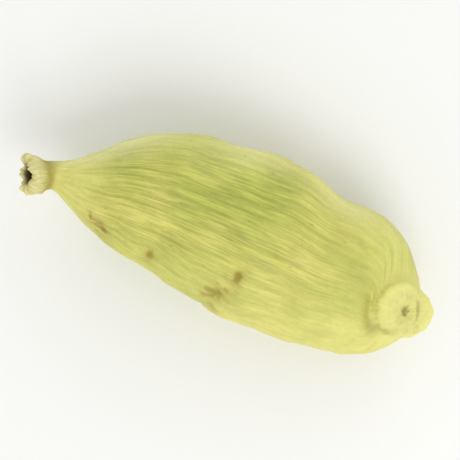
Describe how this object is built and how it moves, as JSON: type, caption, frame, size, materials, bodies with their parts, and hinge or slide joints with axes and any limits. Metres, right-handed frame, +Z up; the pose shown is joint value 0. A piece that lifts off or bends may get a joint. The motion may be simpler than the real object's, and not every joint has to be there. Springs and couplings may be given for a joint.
{
  "type": "green cardamom pod",
  "caption": "Whole dried green cardamom pod: a ribbed three-sided capsule with a beaked tip, a torn flower collar and a stalk knob.",
  "frame": {"origin": "middle of the bounding box at the level that the pod rests on", "axes": "+X along the pod towards the stalk knob, with the flower collar at -X; +Y across it; +Z up from the flat spot"},
  "size_m": [0.0202, 0.008, 0.0065],
  "materials": {
    "husk": "dry papery yellow-green plant husk, matte with a faint sheen, fine lengthwise ribs, paler at both ends"
  },
  "bodies": {
    "root": {"pod": "husk"}
  },
  "joints": []
}
